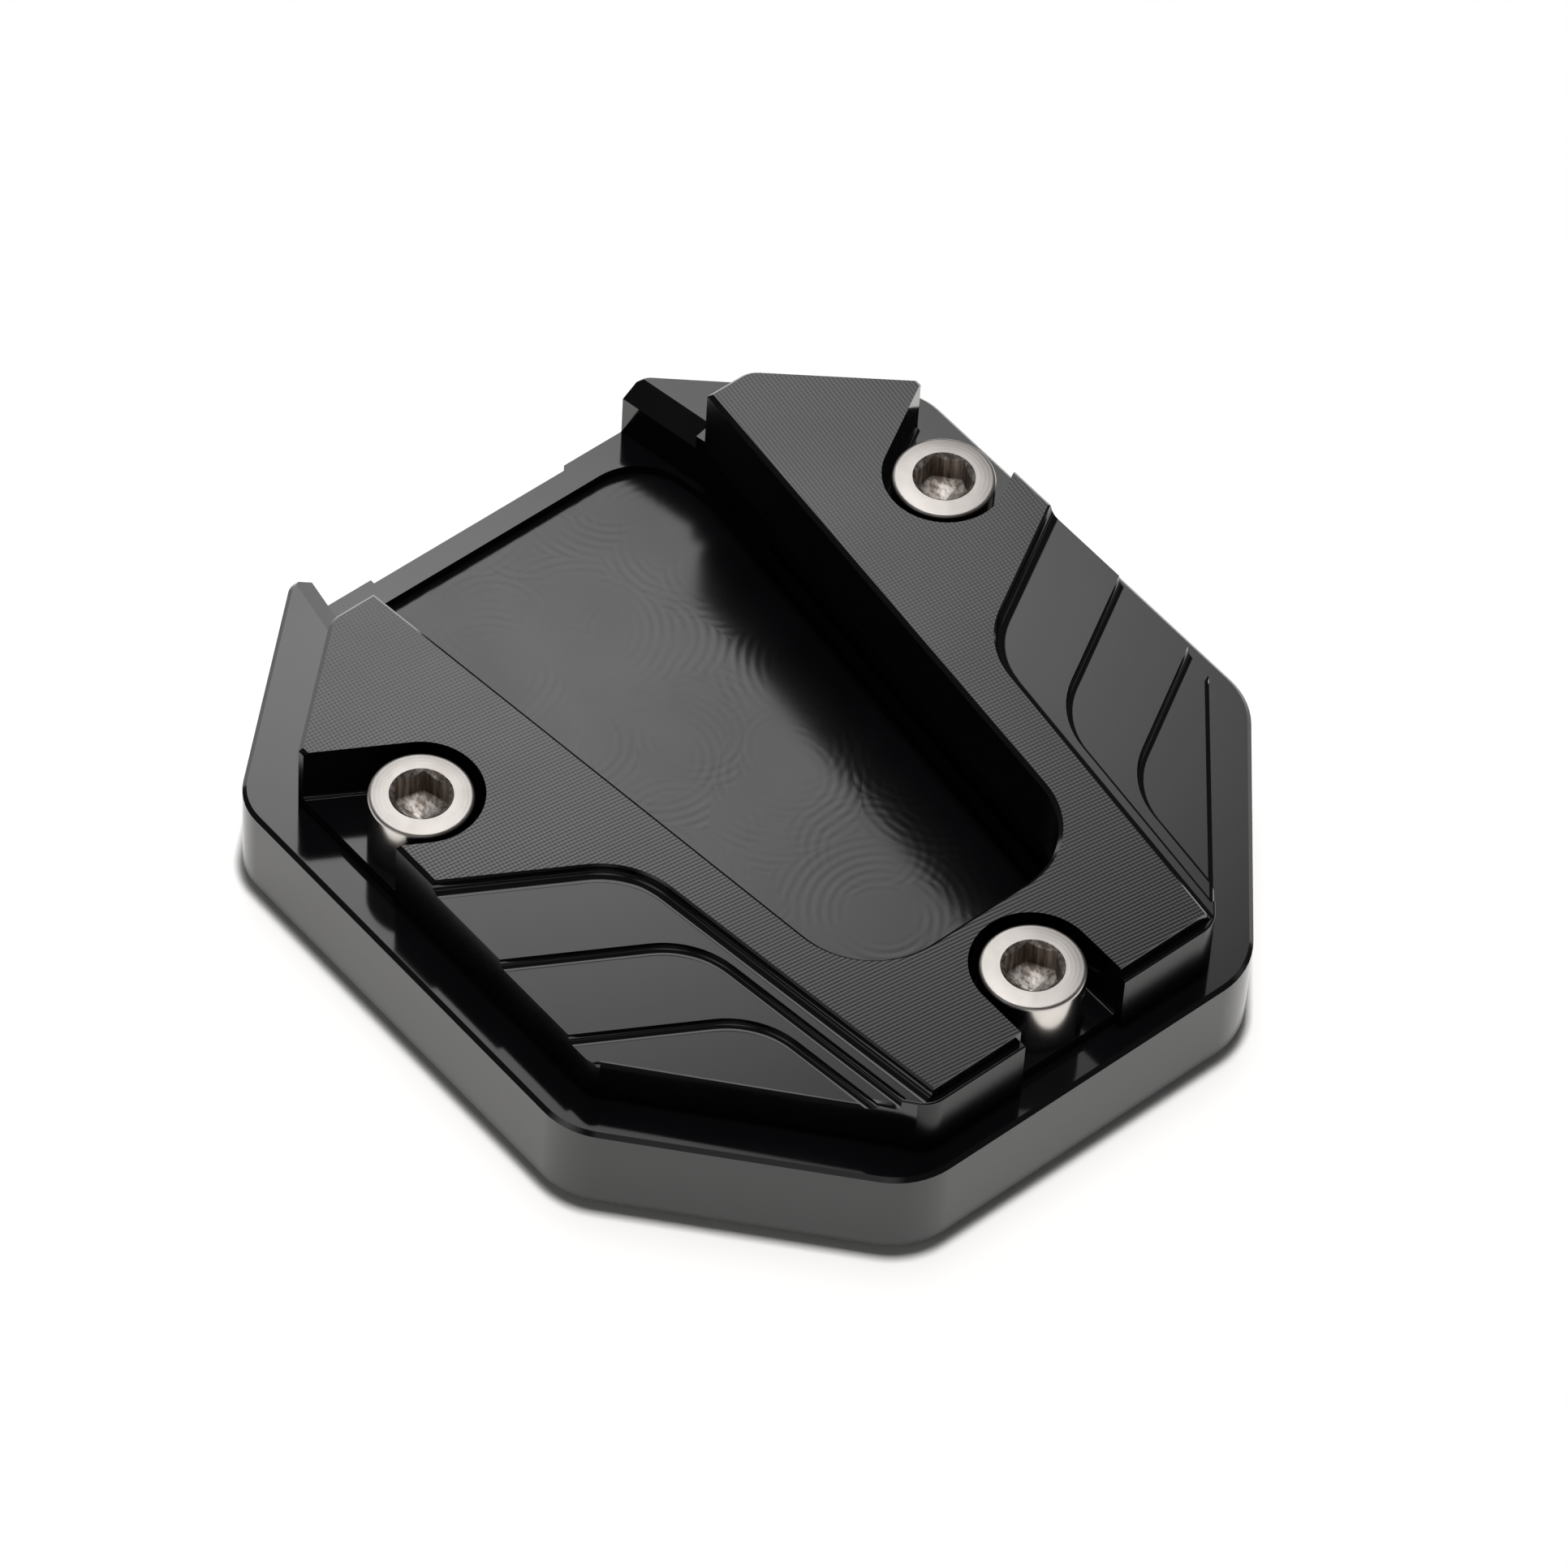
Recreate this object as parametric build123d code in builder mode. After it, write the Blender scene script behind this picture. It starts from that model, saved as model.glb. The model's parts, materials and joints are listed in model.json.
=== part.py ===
# Kickstand foot enlarger: a base plate, a clamp plate and three cap screws.
# Millimetres. X is across, -Y is the front (third screw), +Y the open rear,
# +Z is up and the underside of the base plate lies on Z = 0.

import math
import os

from build123d import *

# Thicknesses and levels
base_h = 11.0
floor_t = 3.4
lip_rise = 1.1
plate_h = 8.0
first_drop = 1.35
terrace_drop = 0.95
slot_floor_t = 1.35

# Base plate outline
base_half_w = 41.35
base_front_y = -45.1
base_rear_y = 45.1
base_front_half = 20.1
base_shoulder_front_y = -20.7
base_shoulder_rear_y = 27.4
base_rear_half = 21.6
base_front_r = 8.0
base_rear_r = 6.0
base_fin_r = 1.6
base_top_chamfer = 0.4
base_bottom_chamfer = 1.2

# Clamp plate outline, and the rim of the base plate left round it
rim_side = 4.2
rim_front = 2.5
rim_rear = 10.8
plate_front_half = 16.9
plate_shoulder_front_y = -18.9
plate_shoulder_rear_y = 23.75
plate_rear_half = 25.2
plate_front_r = 3.0
plate_shoulder_r = 2.5
plate_rear_r = 2.5
plate_edge = 0.4
crown_edge = 0.2

# Opening of the clamp plate for the stand leg
opening_rear_half = 20.1
opening_front_half = 13.4
front_bar = 13.55
opening_r = 8.6

# Foot pocket in the base plate
undercut = 2.8
undercut_front = 2.3
pocket_front_r = 9.0
pocket_bend_y = 28.0
pocket_bend_r = 12.0
pocket_fin_half = 20.5
pocket_fin_y = 36.0
pocket_rear_half = 18.9
recess_inset = 1.2
recess_lip = 3.1
recess_rear_r = 6.0
lip_notch_half = 11.8
lip_notch_depth = 0.5
fin_slope_w = 2.1
fin_slope_h = 1.7

# Terraces on the flanks
terrace_angle = 30.0
terrace_side_inset = 7.15
terrace_side_y = -0.1
terrace_pitch_y = 9.9
terrace_inner_margin = 0.35
terrace_inner_inset = 2.2
terrace_inner_slope = 0.127
terrace_pitch_x = 1.65
terrace_r = 9.0
first_cove_r = 1.0
terrace_cove_r = 0.7
front_ledge_w = 0.75
nose_depth = 2.15
nose_r = 0.2

# Screws and their slots
screw_side_inset = 5.75
screw_side_y = 12.85
screw_front_inset = 6.0
screw_d = 5.9
thread_gap = 0.05
shank_gap = 0.35
screw_end_gap = 0.35
screw_end_chamfer = 0.8
head_d = 9.9
head_h = 6.4
head_edge_r = 0.35
hex_af = 5.0
hex_depth = 3.0
hex_turn_left = 17.0
hex_turn_right = 40.0
hex_turn_front = 30.0
slot_gap = 1.0
slot_foot_r = 0.4
slot_angle = 30.0

# Places that follow from the outline of the base plate
plate_half_w = base_half_w - rim_side
plate_front_y = base_front_y + rim_front
plate_rear_y = base_rear_y - rim_rear
opening_front_y = plate_front_y + front_bar
terrace_side_x = plate_half_w - terrace_side_inset
terrace_inner_x = plate_front_half - terrace_inner_margin
terrace_inner_y = plate_front_y + terrace_inner_inset
screw_side_x = plate_half_w - screw_side_inset
screw_front_y = plate_front_y + screw_front_inset

# Levels and sizes that follow
top_z = base_h + plate_h
lip_z = floor_t + lip_rise
ledge_z = [top_z - first_drop - terrace_drop * step for step in range(3)]
cove_radii = [first_cove_r, terrace_cove_r, terrace_cove_r]
slot_z = base_h + slot_floor_t
slot_r = head_d / 2.0 + slot_gap
screw_len = slot_z - screw_end_gap
crown_front_y = plate_front_y + front_ledge_w
nose_back_y = plate_front_y + nose_depth
screw_spots = [(-screw_side_x, screw_side_y), (screw_side_x, screw_side_y), (0.0, screw_front_y)]
slot_turns = [180.0 - slot_angle, slot_angle, -90.0]
hex_turns = [hex_turn_left, hex_turn_right, hex_turn_front]
far = 2.0 * base_half_w


def mirror_x(points):
    return [(-x, y) for (x, y) in reversed(points)]


def near(points, x, y):
    # The sketch vertices that lie at (+-x, y)
    return [v for v in points if abs(abs(v.X) - x) < 0.01 and abs(v.Y - y) < 0.01]


def opening_half(y):
    # Half the width of the clamp plate's opening, which tapers to the front
    taper = (opening_rear_half - opening_front_half) / (plate_rear_y - opening_front_y)
    return opening_front_half + taper * (y - opening_front_y)


def plate_flank_half(y):
    # Half the width of the clamp plate along its slanted front flanks
    slope = (plate_half_w - plate_front_half) / (plate_shoulder_front_y - plate_front_y)
    return plate_front_half + slope * (y - plate_front_y)


def terrace_side(step, x):
    # The slanted line of a terrace, which runs out to the flank
    rise = math.tan(math.radians(terrace_angle)) * (x - terrace_side_x)
    return (x, terrace_side_y - terrace_pitch_y * step + rise)


def terrace_inner(step, y):
    # The lengthwise line of a terrace, which runs to the front
    return (terrace_inner_x + terrace_pitch_x * step + terrace_inner_slope * (y - terrace_inner_y), y)


def terrace_vertex(step):
    # Where the two lines of a terrace meet
    tilt = math.tan(math.radians(terrace_angle))
    x_start, y_start = terrace_inner(step, terrace_side(step, 0.0)[1])
    x = x_start / (1.0 - terrace_inner_slope * tilt)
    return (x, y_start + tilt * x)


# Base plate
with BuildPart() as base_plate:
    right = [
        (base_front_half, base_front_y),
        (base_half_w, base_shoulder_front_y),
        (base_half_w, base_shoulder_rear_y),
        (base_rear_half, base_rear_y),
    ]
    with BuildSketch():
        with BuildLine():
            Polyline(*right, *mirror_x(right), close=True)
        make_face()
        for corner, radius in zip(right, (base_front_r, base_front_r, base_rear_r, base_fin_r)):
            fillet(near(vertices(), *corner), radius=radius)
    extrude(amount=base_h)
    chamfer(base_plate.faces().sort_by(Axis.Z)[-1].edges(), length=base_top_chamfer)
    chamfer(base_plate.faces().sort_by(Axis.Z)[0].edges(), length=base_bottom_chamfer)

    # Foot pocket, open to the rear at the height of the lip
    pocket_front_y = opening_front_y - undercut_front
    pocket_front_half = opening_half(pocket_front_y) + undercut
    pocket_bend_half = opening_half(pocket_bend_y) + undercut
    wall = [
        (pocket_front_half, pocket_front_y),
        (pocket_bend_half, pocket_bend_y),
        (pocket_fin_half, pocket_fin_y),
        (pocket_rear_half, base_rear_y),
        (pocket_rear_half, base_rear_y + base_h),
    ]
    with BuildSketch(Plane.XY.offset(lip_z)):
        with BuildLine():
            Polyline(*wall, *mirror_x(wall), close=True)
        make_face()
        fillet(near(vertices(), *wall[0]), radius=pocket_front_r)
        fillet(near(vertices(), *wall[1]), radius=pocket_bend_r)
    extrude(amount=base_h, mode=Mode.SUBTRACT)

    # Sunk floor inside the pocket
    recess_rear_y = base_rear_y - recess_lip
    sunk = [
        (pocket_front_half - recess_inset, pocket_front_y + recess_inset),
        (pocket_bend_half - recess_inset, pocket_bend_y),
        (pocket_rear_half, recess_rear_y),
    ]
    with BuildSketch(Plane.XY.offset(floor_t)):
        with BuildLine():
            Polyline(*sunk, *mirror_x(sunk), close=True)
        make_face()
        for corner, radius in zip(sunk, (pocket_front_r - recess_inset, pocket_bend_r, recess_rear_r)):
            fillet(near(vertices(), *corner), radius=radius)
    extrude(amount=base_h, mode=Mode.SUBTRACT)

    # Shallow notch along the middle of the rear lip
    with BuildSketch():
        with Locations((0.0, base_rear_y)):
            Rectangle(2.0 * lip_notch_half, 2.0 * lip_notch_depth)
    extrude(amount=base_h, mode=Mode.SUBTRACT)

    # Lead-in slope on the inner top edge of each rear fin
    for side in (-1.0, 1.0):
        start = Vector(side * pocket_fin_half, pocket_fin_y, base_h)
        run = Vector(side * (pocket_rear_half - pocket_fin_half), base_rear_y - pocket_fin_y, 0.0)
        outward = Vector(side * run.Y, -side * run.X, 0.0)
        with BuildSketch(Plane(origin=start, x_dir=outward, z_dir=run)):
            with BuildLine():
                Polyline(
                    (-fin_slope_w, -side * fin_slope_h),
                    (fin_slope_w, -side * fin_slope_h),
                    (fin_slope_w, 0.0),
                    (0.0, side * fin_slope_h),
                    (-fin_slope_w, side * fin_slope_h),
                    close=True,
                )
            make_face()
        extrude(amount=1.5 * run.length, mode=Mode.SUBTRACT)

    # Threaded holes
    with BuildSketch():
        with Locations(*screw_spots):
            Circle(screw_d / 2.0 + thread_gap)
    extrude(amount=base_h, mode=Mode.SUBTRACT)
base_plate.part.label = "base_plate"

# Front nose of the clamp plate, the low ledge with its rounded upper edge
with BuildPart() as nose:
    right = [
        (plate_front_half, plate_front_y),
        (plate_flank_half(nose_back_y), nose_back_y),
    ]
    with BuildSketch(Plane.XY.offset(base_h)):
        with BuildLine():
            Polyline(*right, *mirror_x(right), close=True)
        make_face()
        fillet(near(vertices(), *right[0]), radius=plate_front_r)
    extrude(amount=ledge_z[0] - base_h)
    rim = nose.faces().sort_by(Axis.Z)[-1].edges()
    fillet([e for e in rim if e.center().Y < nose_back_y - 0.01], radius=nose_r)

# Room of the three screw slots, rounded along the foot of its walls
with BuildPart() as slots:
    for (x, y), turn in zip(screw_spots, slot_turns):
        with BuildSketch(Plane(origin=(x, y, slot_z)).rotated((0.0, 0.0, turn))):
            Circle(slot_r)
            with Locations((far / 2.0, 0.0)):
                Rectangle(far, 2.0 * slot_r)
        extrude(amount=plate_h)
    fillet(slots.faces().group_by(Axis.Z)[0].edges(), radius=slot_foot_r)

# Room of the terraces, whose steps run out into coves
terrace_rooms = []
for step in range(3):
    band = [(far, -far), terrace_side(step, far), terrace_vertex(step), terrace_inner(step, -far)]
    with BuildPart() as room:
        with BuildSketch(Plane.XY.offset(ledge_z[step])):
            with BuildLine():
                Polyline(*band, close=True)
            make_face()
            fillet(near(vertices(), *band[2]), radius=terrace_r)
            mirror(about=Plane.YZ)
        extrude(amount=plate_h)
        fillet(room.faces().group_by(Axis.Z)[0].edges(), radius=cove_radii[step])
    terrace_rooms.append(room.part)

# Clamp plate
with BuildPart() as clamp_plate:
    right = [
        (plate_front_half, plate_front_y),
        (plate_half_w, plate_shoulder_front_y),
        (plate_half_w, plate_shoulder_rear_y),
        (plate_rear_half, plate_rear_y),
    ]
    with BuildSketch(Plane.XY.offset(base_h)):
        with BuildLine():
            Polyline(*right, *mirror_x(right), close=True)
        make_face()
        fillet(near(vertices(), *right[0]), radius=plate_front_r)
        fillet(near(vertices(), *right[1]), radius=plate_shoulder_r)
        fillet(near(vertices(), *right[3]), radius=plate_rear_r)
    extrude(amount=plate_h)

    # Terraces on the flanks
    for room in terrace_rooms:
        add(room, mode=Mode.SUBTRACT)

    # Narrow ledge along the front, level with the first terrace
    with BuildSketch(Plane.XY.offset(ledge_z[0])):
        with Locations((0.0, crown_front_y)):
            Rectangle(2.0 * far, far, align=(Align.CENTER, Align.MAX))
    extrude(amount=plate_h, mode=Mode.SUBTRACT)

    # The square front is exchanged for the rounded nose
    with BuildSketch(Plane.XY.offset(base_h)):
        with Locations((0.0, nose_back_y)):
            Rectangle(2.0 * far, far, align=(Align.CENTER, Align.MAX))
    extrude(amount=ledge_z[0] - base_h, mode=Mode.SUBTRACT)
    add(nose.part)

    # Opening for the stand leg, wide at the rear
    mouth = [
        (opening_front_half, opening_front_y),
        (opening_rear_half, plate_rear_y),
        (opening_rear_half, plate_rear_y + plate_h),
    ]
    with BuildSketch(Plane.XY.offset(base_h)):
        with BuildLine():
            Polyline(*mouth, *mirror_x(mouth), close=True)
        make_face()
        fillet(near(vertices(), *mouth[0]), radius=opening_r)
    extrude(amount=plate_h, mode=Mode.SUBTRACT)

    # Screw slots, open to the flanks and to the front
    add(slots.part, mode=Mode.SUBTRACT)

    # The front ledge stops either side of the front slot
    with BuildSketch(Plane.XY.offset(base_h)):
        with Locations((0.0, crown_front_y)):
            Rectangle(2.0 * slot_r, far, align=(Align.CENTER, Align.MAX))
    extrude(amount=plate_h, mode=Mode.SUBTRACT)

    # Clearance holes
    with BuildSketch(Plane.XY.offset(base_h)):
        with Locations(*screw_spots):
            Circle(screw_d / 2.0 + shank_gap)
    extrude(amount=plate_h, mode=Mode.SUBTRACT)

    # Broken edges: wide round the arms and the opening, narrow along the terraces
    crown = clamp_plate.faces().sort_by(Axis.Z)[-1].edges()
    arms = [e for e in crown if e.center().Y > plate_shoulder_rear_y]
    sides = [e for e in crown if abs(e.center().X) > plate_half_w - 0.01]
    inner = [e for e in crown if abs(e.center().X) < opening_half(e.center().Y) + 0.01]
    inner = [e for e in inner if opening_front_y - 0.01 < e.center().Y < plate_shoulder_rear_y]
    chamfer(arms + sides + inner, length=plate_edge)
    crown = clamp_plate.faces().sort_by(Axis.Z)[-1].edges()
    steps = [e for e in crown if abs(e.center().X) > slot_r + crown_edge]
    steps = [e for e in steps if e.center().Y < terrace_side(0, abs(e.center().X))[1] + 0.01]
    steps = [e for e in steps if abs(e.center().X) > opening_half(e.center().Y) + 2.0 * plate_edge]
    chamfer(steps, length=crown_edge)
clamp_plate.part.label = "clamp_plate"

# One cap screw, with the underside of its head on Z = 0
with BuildPart() as cap_screw:
    with BuildSketch():
        Circle(head_d / 2.0)
    extrude(amount=head_h)
    fillet(cap_screw.faces().sort_by(Axis.Z)[-1].edges(), radius=head_edge_r)
    with BuildSketch(Plane.XY.offset(head_h)):
        RegularPolygon(hex_af / 2.0, 6, major_radius=False)
    extrude(amount=-hex_depth, mode=Mode.SUBTRACT)
    with BuildSketch():
        Circle(screw_d / 2.0)
    extrude(amount=-screw_len)
    chamfer(cap_screw.faces().sort_by(Axis.Z)[0].edges(), length=screw_end_chamfer)

# The three cap screws, each tightened to its own angle
with BuildPart() as cap_screws:
    for (x, y), turn in zip(screw_spots, hex_turns):
        with Locations(Location((x, y, slot_z), (0.0, 0.0, turn))):
            add(cap_screw.part)
cap_screws.part.label = "cap_screws"

os.makedirs("parts", exist_ok=True)
export_step(base_plate.part, "parts/base_plate.step")
export_step(clamp_plate.part, "parts/clamp_plate.step")
export_step(cap_screws.part, "parts/cap_screws.step")
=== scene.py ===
import json
import math

import bmesh
import bpy
from bpy.props import FloatProperty, FloatVectorProperty, PointerProperty
from bpy.types import Operator, Panel, PropertyGroup
from mathutils import Matrix, Vector

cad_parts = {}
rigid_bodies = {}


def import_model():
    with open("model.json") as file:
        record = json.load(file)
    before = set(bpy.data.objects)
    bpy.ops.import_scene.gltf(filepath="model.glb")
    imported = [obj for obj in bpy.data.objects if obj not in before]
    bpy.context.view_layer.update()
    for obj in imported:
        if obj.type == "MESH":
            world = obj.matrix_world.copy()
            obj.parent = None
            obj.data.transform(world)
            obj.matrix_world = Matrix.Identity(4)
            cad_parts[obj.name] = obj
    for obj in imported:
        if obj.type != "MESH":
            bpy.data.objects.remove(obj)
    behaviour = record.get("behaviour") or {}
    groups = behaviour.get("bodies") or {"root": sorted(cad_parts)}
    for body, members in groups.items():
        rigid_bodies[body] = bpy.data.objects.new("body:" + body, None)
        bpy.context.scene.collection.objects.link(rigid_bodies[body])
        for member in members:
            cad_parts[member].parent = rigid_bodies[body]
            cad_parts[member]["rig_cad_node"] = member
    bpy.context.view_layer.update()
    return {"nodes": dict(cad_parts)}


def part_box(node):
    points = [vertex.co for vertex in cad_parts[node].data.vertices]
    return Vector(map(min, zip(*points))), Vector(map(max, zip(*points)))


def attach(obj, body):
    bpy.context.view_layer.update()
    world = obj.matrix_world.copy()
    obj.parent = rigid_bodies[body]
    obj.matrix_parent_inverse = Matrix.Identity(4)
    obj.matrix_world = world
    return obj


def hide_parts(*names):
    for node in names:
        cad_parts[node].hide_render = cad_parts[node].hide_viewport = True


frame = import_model()

bl_info = {
    "name": "Kickstand foot enlarger",
    "version": (1, 0, 0),
    "blender": (4, 5, 0),
    "location": "View3D > Sidebar > Foot",
    "description": "Two black anodised plates and three cap screws that widen the foot of a side stand",
    "category": "Object",
}

MM = 0.001
MICRON = 0.000001
BODY = "root"

base_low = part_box("base_plate")[0]
clamp_low, clamp_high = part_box("clamp_plate")
screws_low, screws_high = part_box("cap_screws")

# A level between the pocket floor and the lip round it
pocket_level = base_low.z + 4.0 * MM
# Levels just under the clamp plate's top, under its lowest terrace and just over its underside
crown_level = clamp_high.z - 0.1 * MM
wall_level = clamp_low.z + 4.2 * MM
foot_level = clamp_low.z + 0.5 * MM

# Triangles join where their corners lie this close and their faces are this nearly in one plane
JOIN_DISTANCE = 0.5 * MICRON
FLAT_WITHIN = math.radians(0.1)

# Limits on the height of a face's normal: level faces lie above the first, walls below the others
LEVEL = 0.99
STEEP = 0.3
UPRIGHT = 0.1

# Facets that meet at less than this angle are shaded as one curve
PLATE_SMOOTHING = math.radians(32.0)
SCREW_SMOOTHING = math.radians(30.0)

# Black oxide: its clouds, in millimetres, the noise levels between smooth and rough, and how far those differ
CLOUD_SIZE = 11.0
CLOUD_RANGE = (0.3, 0.7)
GLOSS_SPREAD = 0.02
# Its grain, in millimetres, and the depth of the grain
GRAIN_SIZE = 0.3
GRAIN_DEPTH = 0.6 * MICRON

# The face mill crosses the plate twice, a little off the plate's own directions, in degrees
HATCH_ANGLES = (8.0, -82.0)

# The end mill's two passes: shift in millimetres, and how much wider apart the circles lie than in the first
SWIRL_PASSES = (((0.0, 0.0, 0.0), 1.0), ((5.3, 3.7, 0.0), 1.3))
# The arcs fade in between these shares of the spacing from the middle of a circle
SWIRL_FADE = (0.25, 0.45)
# Size in millimetres of the patches where the arcs show, and the noise levels between which they fade in
PATCH_SIZE = 6.0
PATCH_RANGE = (0.42, 0.62)

# Turned steel: its stains, in millimetres, the spread of its polish and the depth of the lathe's rings
STAIN_SIZE = 2.5
POLISH_SPREAD = 0.04
RING_DEPTH = 2.0 * MICRON

# Broached steel: its streaks, in millimetres, the noise levels between dark and pale, and their depth. The
# streaks are tool marks; their dark brown is partly painted shade and reflection inside the socket
STREAK_WIDTH = 0.5
STREAK_LENGTH = 6.0
STREAK_RANGE = (0.38, 0.62)
STREAK_DEPTH = 40.0 * MICRON

# Length of one wave of the wave texture at scale 1
WAVE_LENGTH = 2.0 * math.pi / 20.0

# Numbers of the mix node's two values and its result, because several of its sockets share a name
MIX_SOCKETS = {"FLOAT": (2, 3, 0), "RGBA": (6, 7, 2)}

# Screw: sides of a round face, and facets of a rounded edge
ROUND_SIDES = 96
EDGE_FACETS = 5
# A level ring is left between the rising top of the head and the mouth of the socket
MOUTH_MARGIN = 0.1 * MM
# Width of the drilled tip's end, as a share of the socket's
TIP_SHARE = 0.08
# Upright faces past this share of the head's radius are its side
SIDE_SHARE = 0.9

# Softboxes: azimuth and elevation in degrees, distance, width and height in metres, and watts.
# The key lamp is small and nearly overhead, for a thin crisp line of shadow, and nothing mirrors it.
KEY_LAMP = (137.0, 89.0, 1.00, 0.08, 0.10, 8.7)
# The high one is broad and even, and lights the screw heads and their sockets.
HIGH_LAMP = (146.0, 76.0, 0.80, 0.44, 0.40, 1.25)
# Each of the others fades towards its rim, and the level tops mirror it when they are seen from across.
GRADED_LAMPS = {
    "softbox rear": (145.8, 49.5, 0.59, 0.38, 0.24, 0.80),
    "softbox low": (180.0, 22.0, 0.80, 0.80, 0.28, 0.70),
    "softbox front": (-43.0, 28.0, 0.60, 0.44, 0.28, 0.30),
    "softbox left": (-90.0, 28.0, 0.60, 0.44, 0.28, 0.30),
    "softbox right": (60.0, 18.0, 0.60, 0.40, 0.18, 0.12),
    "softbox zenith": (0.0, 90.0, 0.80, 0.26, 0.26, 0.14),
}

# The floor lies this far under the base plate, so that the two faces don't share a plane
FLOOR_GAP = 0.02 * MM
# The camera's sensor, in millimetres
SENSOR_WIDTH = 36.0


def linear(hex_colour):
    """An sRGB hex colour as linear red, green, blue and alpha."""
    parts = [int(hex_colour[i:i + 2], 16) / 255.0 for i in (1, 3, 5)]
    return tuple(c / 12.92 if c <= 0.04045 else ((c + 0.055) / 1.055) ** 2.4 for c in parts) + (1.0,)


class PlateFinish(PropertyGroup):
    """The black anodised finish of the two plates."""

    dye: FloatVectorProperty(
        name="Dye", description="Colour of the dyed oxide", subtype="COLOR", size=4,
        min=0.0, max=1.0, default=linear("#040405"),
    )
    dye_worn: FloatVectorProperty(
        name="Thin dye", description="Colour where the dye took less well", subtype="COLOR", size=4,
        min=0.0, max=1.0, default=linear("#08080a"),
    )
    crown_dye: FloatVectorProperty(
        name="Crown dye", description="Colour of the dyed oxide on the face-milled top", subtype="COLOR",
        size=4, min=0.0, max=1.0, default=linear("#161617"),
    )
    gloss: FloatProperty(
        name="Roughness", description="Roughness of the base plate and the terraces", subtype="FACTOR",
        min=0.0, max=1.0, default=0.09,
    )
    crown_gloss: FloatProperty(
        name="Crown roughness", description="Roughness of the face-milled top", subtype="FACTOR",
        min=0.0, max=1.0, default=0.14,
    )
    wall_gloss: FloatProperty(
        name="Wall roughness", description="Roughness of the clamp plate's walls", subtype="FACTOR",
        min=0.0, max=1.0, default=0.22,
    )
    pocket_gloss: FloatProperty(
        name="Pocket roughness", description="Roughness of the pocket floor", subtype="FACTOR",
        min=0.0, max=1.0, default=0.18,
    )
    oxide_index: FloatProperty(
        name="Oxide index", description="Refractive index of the oxide: a higher one mirrors more",
        min=1.0, default=1.6,
    )
    wall_index: FloatProperty(
        name="Wall index", description="Refractive index on the clamp plate's walls, which mirror less",
        min=1.0, default=1.4,
    )
    broken_edge: FloatProperty(
        name="Broken edge", description="Width of the broken edge along the flanks", unit="LENGTH",
        default=0.45 * MM,
    )
    hatch_pitch: FloatProperty(
        name="Hatch pitch", description="Spacing of the face mill's lines on the clamp plate",
        unit="LENGTH", default=0.38 * MM,
    )
    hatch_depth: FloatProperty(
        name="Hatch depth", description="Depth of the face mill's lines", unit="LENGTH", default=4.0 * MICRON,
    )
    swirl_spacing: FloatProperty(
        name="Swirl spacing", description="Distance between the circles that the end mill left in the pocket",
        unit="LENGTH", default=11.0 * MM,
    )
    swirl_pitch: FloatProperty(
        name="Swirl pitch", description="Spacing of the rings in one circle", unit="LENGTH", default=1.0 * MM,
    )
    swirl_depth: FloatProperty(
        name="Swirl depth", description="Depth of the rings", unit="LENGTH", default=2.4 * MICRON,
    )


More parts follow.
